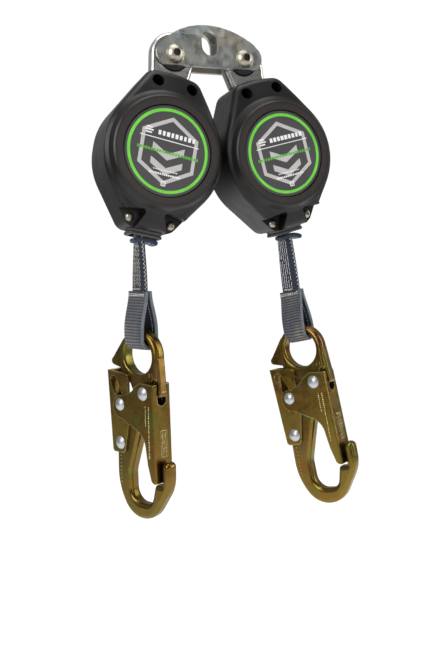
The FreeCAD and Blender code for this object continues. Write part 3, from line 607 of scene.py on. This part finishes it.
FACE_Y = -30.2
for name, pose in SIDES.items():
    face = pose["housing"] @ Matrix.Translation((0, 0, RING_Z))
    low, high = FACE_Y - 0.05, FACE_Y + 0.02
    grey = [hexagon_side(index, 23.6, 20.6, low, high) for index in range(6)]
    grey += chevron(-16.5, 11.5, 4.6, 6.0, low, high) + chevron(-6.5, 11.5, 4.6, 6.0, low, high)
    low, high = FACE_Y - 0.10, FACE_Y
    white = row_of_blocks(-9.5, 18.5, 11.2, 3.1, 9, low, high)
    white += [bar(-15.6, 11.4, 6.4, 1.0, low, high), bar(-15.6, 9.6, 4.4, 1.0, low, high),
              bar(-15.6, 13.2, 4.4, 1.0, low, high), bar(0, 7.0, 43.0, 0.55, low, high)]
    white += row_of_blocks(-11.5, 11.5, -16.4, 1.3, 15, low, high)
    white += row_of_blocks(-9.0, 9.0, -13.6, 0.8, 16, low, high)
    white += [bar(0, -21.2, 3.4, 0.6, low, high), bar(0, -24.0, 3.4, 0.6, low, high),
              bar(-1.5, -22.6, 0.5, 2.6, low, high), bar(1.5, -22.6, 0.5, 2.6, low, high)]
    green = row_of_blocks(-22.5, 22.5, -1.2, 1.9, 23, low, high)
    for label, parts, ink in (("emblem", grey, GREY_INK), ("white_bars", white, WHITE_INK),
                              ("green_bars", green, GREEN_INK)):
        vertices, faces = joined(parts)
        obj = piece("label_" + label + "_" + name, vertices, faces, face, [ink],
                    "housing_" + name)
        for polygon in obj.data.polygons:
            polygon.use_smooth = False


# ---------------------------------------------------------------- nozzle lip
def rounded_rectangle(half_x, half_y, radius, per_corner=6):
    points = []
    for quarter, (sx, sy) in enumerate(((1, 1), (-1, 1), (-1, -1), (1, -1))):
        for index in range(per_corner + 1):
            angle = math.radians(90 * quarter + 90 * index / per_corner)
            points.append((sx * (half_x - radius) + radius * math.cos(angle),
                           sy * (half_y - radius) + radius * math.sin(angle)))
    return points


LIP_DEPTH = 7.6        # how far the lip reaches inward
LIP_PROFILE = [(-7.6, 1.6), (-1.4, 1.6), (-0.5, 0.8), (-0.3, -0.1), (-0.9, -0.9), (-1.5, -1.3),
               (-0.9, -1.7), (-0.2, -2.3), (-0.1, -3.1), (-0.7, -3.9), (-1.6, -4.2), (-3.2, -4.0),
               (-4.4, -3.4), (-5.4, -2.2), (-6.4, -1.6), (-7.6, -1.0)]
for name, pose in SIDES.items():
    rings = []
    for inset, height in LIP_PROFILE:
        share = min(1.0, -inset / LIP_DEPTH)
        rings.append([(x, y, NOZZLE_Z + height)
                      for x, y in rounded_rectangle(12.6 + inset * 0.74, 8.9 + inset * (2.2 / LIP_DEPTH),
                                                    2.6 - 1.4 * share)])
    vertices, faces, uvs, _ = loft(rings, caps=False)
    lip = piece("nozzle_lip_" + name, vertices, faces, pose["housing"], [LIP],
                "housing_" + name, uvs)
    lip.modifiers.new("round", "SUBSURF").levels = 1
    lip.modifiers["round"].render_levels = 2
    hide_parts("web_nozzle_" + name)


def leader_frame(pose, share):
    """Centre, width and face directions of the leader at a share of its exposed length."""
    length = pose["leader"]
    down = -WEB_INSIDE + share * (length + WEB_INSIDE)
    twist_share = max(0.0, min(1.0, down / length))
    smooth = twist_share * twist_share * (3 - 2 * twist_share)
    line_turn = pose["line"].to_3x3()
    first, last = pose["facing"]
    facing = math.radians(first + (last - first) * smooth)
    width = Vector((math.cos(facing), -math.sin(facing), 0))
    down_axis = line_turn @ Vector((0, 0, -1))
    width = (width - down_axis * width.dot(down_axis)).normalized()
    outward = width.cross(down_axis).normalized()
    if outward.x > 0:
        outward = -outward
    centre = pose["line"] @ Vector((0, 0, -down))
    thin, full = pose["thick"]
    thickness = thin + (full - thin) * smooth
    spread = max(0.0, min(1.0, (down - 7.5) / 4.0))
    half = (INNER_WEB_W + (LEADER_W - INNER_WEB_W) * spread) / 2
    return centre, width, outward, thickness, half


def leader_point(pose, share, across, side, lift=0.0):
    """A point on the leader's face: across runs from -1 to 1, side is +1 for the left face."""
    centre, width, outward, thickness, half = leader_frame(pose, share)
    half -= 0.32 * thickness
    crown = 0.35 * (1 - across * across)
    return (centre + width * across * half + outward * side * (thickness / 2 + crown + lift),
            outward * side)


for name, pose in SIDES.items():
    rings = []
    steps = 40
    for index in range(steps + 1):
        centre, width, outward, thickness, half = leader_frame(pose, index / steps)
        section = strap_section(2 * half, thickness, 0.35, 9)
        rings.append([centre + width * a - outward * b for a, b in section])
    vertices, faces, uvs, _ = loft(rings)
    leader = piece("stitched_leader_" + name, vertices, faces, Matrix.Identity(4), [NAVY],
                   None, uvs)
    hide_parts("web_leader_" + name)

    length = pose["leader"]
    total = length + WEB_INSIDE
    stitches = []
    for side in (1, -1):
        for row in (-0.80, -0.40, 0.0, 0.40, 0.80):
            down = 3.0
            flip = 1
            while down < length - 5.0:
                step = 1.35 + 0.3 * rng.random()
                swing = 0.12 if name == "left" else 0.04
                a = row + flip * swing + rng.uniform(-0.03, 0.03)
                b = row - flip * swing + rng.uniform(-0.03, 0.03)
                p, n = leader_point(pose, (down + WEB_INSIDE) / total, a, side, 0.10)
                q, _ = leader_point(pose, (down + step + WEB_INSIDE) / total, b, side, 0.10)
                if rng.random() > 0.05:
                    stitches.append((p, q, n))
                down += step
                flip = -flip
        for down in (length - 3.0, length - 2.3):
            across = -0.9
            while across < 0.85:
                p, n = leader_point(pose, (down + WEB_INSIDE) / total, across, side, 0.10)
                q, _ = leader_point(pose, (down + 0.3 + WEB_INSIDE) / total, across + 0.22, side, 0.10)
                stitches.append((p, q, n))
                across += 0.25
    vertices, faces = thread_mesh(stitches, 0.22)
    face_rows = piece("leader_stitches_" + name, vertices, faces, Matrix.Identity(4),
                      [BEIGE if name == "left" else PALE], None)

    edge = []
    for end in (-1, 1):
        down = 1.0
        flip = 1
        while down < length - 1.5:
            step = 1.5
            points = []
            for at, swing in ((down, flip), (down + step, -flip)):
                centre, width, outward, thickness, half = leader_frame(pose, (at + WEB_INSIDE) / total)
                points.append(centre + width * end * (half + 0.05)
                              + outward * swing * thickness * 0.17)
            edge.append((points[0], points[1], width * end))
            down += step
            flip = -flip
    vertices, faces = thread_mesh(edge, 0.18)
    edge_rows = piece("leader_edge_stitches_" + name, vertices, faces, Matrix.Identity(4), [PALE],
                      None)
    apex = (pose["line"] @ Vector((0, 0, -length))) * MM
    for web in (leader, face_rows, edge_rows):
        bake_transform(web)

    rings = []
    for index in range(25):
        height = 16.0 - index * 8.0 / 24
        rings.append([pose["line"] @ Vector((b * 0.8, a, height))
                      for a, b in strap_section(INNER_WEB_W * 0.98, 3.0, 0.0, 7)])
    vertices, faces, uvs, _ = loft(rings)
    drawn = piece("drawn_web_" + name, vertices, faces, Matrix.Identity(4), [DRAWN_WEB],
                  None, uvs)
    top = (pose["line"] @ Vector((0, 0, 16.0))) * MM
    low = (pose["line"] @ Vector((0, 0, 8.0))) * MM
    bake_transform(drawn)


# ---------------------------------------------------------------- folded stop under the nozzle
STOP_LINE = [(-5.6, -8.6), (-4.8, -8.2), (-2.6, -8.0), (-0.2, -7.9), (2.4, -7.9), (5.0, -8.2),
             (7.6, -8.8), (9.8, -9.8), (11.6, -10.7), (12.7, -11.0)]
for name, pose in SIDES.items():
    rings = []
    stop_line = [(x, z + 0.2 + pose["ear"] * x) for x, z in STOP_LINE]
    for index, (x, z) in enumerate(stop_line):
        before = Vector(stop_line[max(index - 1, 0)])
        after = Vector(stop_line[min(index + 1, len(stop_line) - 1)])
        run = (after - before).normalized()
        up = Vector((-run.y, run.x))
        share = min(index, len(stop_line) - 1 - index)
        thickness = (2.0, 3.3, 3.6)[min(share, 2)]
        width = (12.0, 13.6, 14.2)[min(share, 2)]
        rings.append([(x + up.x * b, a, z + up.y * b)
                      for a, b in strap_section(width, thickness, 0.2, 7)])
    vertices, faces, uvs, _ = loft(rings)
    stop = piece("folded_stop_" + name, vertices, faces, pose["line"], [NAVY_STOP],
                 "line_" + name, uvs)
    stop.modifiers.new("round", "SUBSURF").levels = 1
    stop.modifiers["round"].render_levels = 2
    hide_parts("web_stop_" + name)
    stitches = []
    for row in (-4.6, 0.0, 4.6):
        for index in range(2, 7):
            x, z = stop_line[index]
            x2, z2 = stop_line[index + 1]
            stitches.append(((x + 0.3, row, z - 2.0), (x2 - 0.3, row, z2 - 2.0), (0, 0, -1)))
    vertices, faces = thread_mesh(stitches, 0.25)
    piece("stop_stitches_" + name, vertices, faces, pose["line"], [PALE], "line_" + name)


# ---------------------------------------------------------------- sewn loop with wear sleeve
LOOP_HALF = 7.3        # centreline half width of the open loop
LOOP_BEND_Z = 41.5
LOOP_T, LOOP_W = 3.2, 19.2


def loop_line(sag):
    """Centreline in the hook's Y and Z, from the stitches down, round and up again."""
    top = EYE_Z + LOOP_RISE
    front = [(-1.8, top + 1.0), (-1.9, top - 1.5), (-2.5, top - 5.5), (-3.8, top - 10.5),
             (-5.2, top - 15.5), (-6.4, top - 20.5), (-7.1, top - 25.5)]
    bend = []
    for index in range(13):
        angle = math.pi + math.pi * index / 12
        bend.append((LOOP_HALF * math.cos(angle), LOOP_BEND_Z - sag + LOOP_HALF * math.sin(angle)))
    return front + bend + [(-y, z) for y, z in reversed(front)]


def resampled(points, count):
    """Evenly spaced points on a smooth curve through the given ones."""
    dense = []
    for index in range(len(points) - 1):
        p0 = Vector(points[max(index - 1, 0)])
        p1, p2 = Vector(points[index]), Vector(points[index + 1])
        p3 = Vector(points[min(index + 2, len(points) - 1)])
        for step in range(8):
            t = step / 8
            dense.append(0.5 * ((2 * p1) + (p2 - p0) * t + (2 * p0 - 5 * p1 + 4 * p2 - p3) * t * t
                                + (3 * p1 - p0 - 3 * p2 + p3) * t ** 3))
    dense.append(Vector(points[-1]))
    lengths = [0.0]
    for a, b in zip(dense, dense[1:]):
        lengths.append(lengths[-1] + (b - a).length)
    result = []
    at = 0
    for index in range(count):
        wanted = lengths[-1] * index / (count - 1)
        while at < len(lengths) - 2 and lengths[at + 1] < wanted:
            at += 1
        share = (wanted - lengths[at]) / max(lengths[at + 1] - lengths[at], 1e-9)
        result.append(dense[at].lerp(dense[at + 1], share))
    return result


for name, pose in SIDES.items():
    rings = []
    line = resampled(loop_line(pose["sag"]), 90)
    for index, point in enumerate(line):
        before = line[max(index - 1, 0)]
        after = line[min(index + 1, len(line) - 1)]
        run = (after - before).normalized()
        out = Vector((run.y, -run.x))
        share = index / (len(line) - 1)
        pinch = 1 - 0.05 * math.exp(-((share - 0.5) / 0.12) ** 2)
        rings.append([(EYE_X + a * pinch, point.x - out.x * b, point.y - out.y * b)
                      for a, b in strap_section(LOOP_W, LOOP_T, 0.15, 9)])
    vertices, faces, uvs, places = loft(rings)
    choose = []
    for place in places:
        if place < 0 or 12 <= place < 20:
            choose.append(1)
        elif 8 <= place < 12 or place >= 20:
            choose.append(2)
        else:
            choose.append(0)
    loop = piece("sewn_loop_" + name, vertices, faces, pose["hook"], [SLEEVE, NAVY, EDGE_WEB],
                 "loop_" + name, uvs, choose)
    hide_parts("web_loop_" + name)

    stitches = []
    for turned in (False, True):
        points = line[::-1] if turned else line
        mirror = -1 if turned else 1
        for index in (2, 3):
            point = points[index]
            across = -8.2
            while across < 7.6:
                y = point.x - mirror * (LOOP_T / 2 + 0.15)
                stitches.append(((EYE_X + across, y, point.y), (EYE_X + across + 1.6, y, point.y),
                                 (0, -mirror, 0)))
                across += 2.0
    for index in range(46, 86):
        if index % 2:
            continue
        a, b = line[index], line[index + 1]
        run = (b - a).normalized()
        inward = Vector((-run.y, run.x))
        for across in (-6.2, 6.2):
            lift = LOOP_T / 2 + 0.12
            start = (EYE_X + across, a.x + inward.x * lift, a.y + inward.y * lift)
            end = (EYE_X + across, b.x + inward.x * lift, b.y + inward.y * lift)
            stitches.append((start, end, (0, inward.x, inward.y)))
    vertices, faces = thread_mesh(stitches, 0.28)
    piece("loop_stitches_" + name, vertices, faces, pose["hook"], [PALE], "loop_" + name)


# ---------------------------------------------------------------- plain marks on the hooks
def dashes(z0, z1, x, width, y0, y1, pitch, height):
    """A column of plain dashes on a face of constant Y."""
    parts = []
    z = z0
    while z > z1:
        size = height * rng.uniform(0.6, 1.0)
        parts.append(bar(x, z - size / 2, width * rng.uniform(0.6, 1.0), size, y0, y1, 0.1))
        z -= pitch
    return parts


GATE_FACE = 9.05
for name, pose in SIDES.items():
    parts = dashes(-9.0, -46.0, 5.6, 1.3, -GATE_FACE - 0.04, -GATE_FACE + 0.02, 1.6, 1.1)
    parts += dashes(-9.0, -24.0, 2.4, 1.0, -GATE_FACE - 0.04, -GATE_FACE + 0.02, 1.5, 1.0)
    vertices, faces = joined(parts)
    piece("gate_marks_" + name, vertices, faces, pose["hook"], [ETCH], "gate_" + name)

    spine = Matrix.Translation((10.4, 0, 6.8)) @ turn(-1.20, "Y") @ turn(90, "Z")
    top, bottom, half = -33.8, -53.3, 3.3
    out0, out1 = -0.04, 0.02
    frame_bars = [bar(0.8, top, 2 * half, 0.45, out0, out1), bar(0.8, bottom, 2 * half, 0.45, out0, out1),
                  bar(0.8 - half, (top + bottom) / 2, 0.45, top - bottom, out0, out1),
                  bar(0.8 + half, (top + bottom) / 2, 0.45, top - bottom, out0, out1)]
    for column in (-0.9, 0.8, 2.5):
        frame_bars += dashes(top - 1.2, bottom + 1.2, column, 0.9, out0, out1, 1.4, 1.0)
    vertices, faces = joined(frame_bars)
    piece("spine_marks_" + name, vertices, faces, pose["hook"] @ spine, [ETCH], "gate_" + name)

    raised = []
    z = -50.5
    while z > -71.0:
        raised.append(bar(-28.6, z, 2.3, 1.5, -5.25, -4.95, 0.5))
        z -= 2.9
    raised += [bar(3.6, 12.6, 0.9, 4.4, -5.25, -4.95, 0.3), bar(6.4, 12.6, 0.9, 4.4, -5.25, -4.95, 0.3)]
    vertices, faces = joined(raised)
    piece("forging_marks_" + name, vertices, faces, pose["hook"], [FORGED_MARK],
          "hook_" + name)


# ---------------------------------------------------------------- stage, light and camera
FLOOR_Z = -640.0


def stage_floor():
    """Pale floor that fades into the white surround."""
    rings = [[(r * math.cos(a * math.pi / 24), r * math.sin(a * math.pi / 24), FLOOR_Z)
              for a in range(48)] for r in (10.0, 400.0, 900.0, 1500.0, 2600.0)]
    vertices, faces, _, _ = loft(rings, caps=False)
    mesh = bpy.data.meshes.new("floor")
    mesh.from_pydata([tuple(Vector(v) * MM) for v in vertices], [], faces + [tuple(range(48))])
    floor = bpy.data.objects.new("floor", mesh)
    bpy.context.scene.collection.objects.link(floor)
    look = Look("pale_floor", 0.0, 0.9)
    x, y, _ = look.split(look.where)
    radius = look.math("SQRT", look.math("ADD", look.math("MULTIPLY", x, x),
                                         look.math("MULTIPLY", y, y)))
    look.bsdf.inputs["Base Color"].default_value = (0.93, 0.93, 0.93, 1)
    look.bsdf.inputs["Emission Color"].default_value = (1, 1, 1, 1)
    look.bsdf.inputs["Emission Strength"].default_value = 0.55
    look.put(look.bsdf.inputs["Alpha"], look.remap(radius, 2.2, 0.8))
    mesh.materials.append(look.material)


def surround():
    """White studio: bright sides, top and back, a dim front, and plain white to the eye."""
    world = bpy.data.worlds.new("studio")
    bpy.context.scene.world = world
    world.use_nodes = True
    tree = world.node_tree
    tree.nodes.clear()
    new = tree.nodes.new
    coord = new("ShaderNodeTexCoord")
    split = new("ShaderNodeSeparateXYZ")
    tree.links.new(coord.outputs["Generated"], split.inputs[0])

    def ramp(value, stops):
        node = new("ShaderNodeValToRGB")
        node.color_ramp.interpolation = "EASE"
        while len(node.color_ramp.elements) < len(stops):
            node.color_ramp.elements.new(0.5)
        for element, (position, level) in zip(node.color_ramp.elements, stops):
            element.position = position
            element.color = (level, level, level, 1)
        shifted = new("ShaderNodeMapRange")
        shifted.inputs["From Min"].default_value = -1.0
        tree.links.new(value, shifted.inputs["Value"])
        tree.links.new(shifted.outputs[0], node.inputs[0])
        return node.outputs[0]

    depth = ramp(split.outputs["Y"], [(0.0, 0.26), (0.22, 0.30), (0.42, 0.85), (0.75, 1.0)])
    height = ramp(split.outputs["Z"], [(0.0, 0.25), (0.40, 0.38), (0.60, 0.85), (0.85, 1.0)])
    mixed = new("ShaderNodeMix")
    mixed.data_type = "RGBA"
    mixed.blend_type = "MULTIPLY"
    mixed.inputs[0].default_value = 1.0
    tree.links.new(depth, mixed.inputs[6])
    tree.links.new(height, mixed.inputs[7])
    soft = new("ShaderNodeBackground")
    soft.inputs["Strength"].default_value = 0.46
    tree.links.new(mixed.outputs[2], soft.inputs["Color"])
    plain = new("ShaderNodeBackground")
    plain.inputs["Color"].default_value = (1, 1, 1, 1)
    plain.inputs["Strength"].default_value = 1.02
    path = new("ShaderNodeLightPath")
    choice = new("ShaderNodeMixShader")
    tree.links.new(path.outputs["Is Camera Ray"], choice.inputs[0])
    tree.links.new(soft.outputs[0], choice.inputs[1])
    tree.links.new(plain.outputs[0], choice.inputs[2])
    out = new("ShaderNodeOutputWorld")
    tree.links.new(choice.outputs[0], out.inputs["Surface"])


def softbox(name, place, target, width, height, power):
    light = bpy.data.lights.new(name, "AREA")
    light.shape = "RECTANGLE"
    light.size = width
    light.size_y = height
    light.energy = power
    obj = bpy.data.objects.new(name, light)
    obj.location = place
    obj.rotation_euler = (Vector(target) - Vector(place)).to_track_quat("-Z", "Y").to_euler()
    bpy.context.scene.collection.objects.link(obj)


stage_floor()
surround()
MIDDLE = (0.0, 0.0, -0.15)
softbox("key_left", (-1.15, -0.75, 0.45), MIDDLE, 0.42, 1.1, 15)
softbox("fill_right", (1.2, -0.5, 0.15), MIDDLE, 0.32, 1.1, 8)
softbox("top", (0.0, -0.2, 1.2), MIDDLE, 1.0, 0.8, 9)
softbox("front_low", (0.25, -1.4, -0.2), MIDDLE, 0.35, 0.9, 2.2)

FOCAL_SHARE = 694.8 / 659.0    # focal length over the frame's long side
camera_data = bpy.data.cameras.new("camera")
camera_data.sensor_fit = "AUTO"
camera_data.sensor_width = 36.0
camera_data.lens = FOCAL_SHARE * camera_data.sensor_width
camera_data.clip_start = 0.01
camera = bpy.data.objects.new("camera", camera_data)
bpy.context.scene.collection.objects.link(camera)
azimuth, elevation, roll = math.radians(22.47), math.radians(3.89), math.radians(-3.3)
forward = Vector((math.cos(elevation) * math.sin(azimuth), math.cos(elevation) * math.cos(azimuth),
                  -math.sin(elevation)))
level = Vector((math.cos(azimuth), -math.sin(azimuth), 0))
upright = level.cross(forward)
right = level * math.cos(roll) + upright * math.sin(roll)
up = upright * math.cos(roll) - level * math.sin(roll)
camera.matrix_world = Matrix(((right.x, up.x, -forward.x, -0.20396),
                              (right.y, up.y, -forward.y, -0.48805),
                              (right.z, up.z, -forward.z, -0.17460),
                              (0, 0, 0, 1)))
bpy.context.scene.camera = camera
bpy.context.scene.view_settings.view_transform = "Standard"
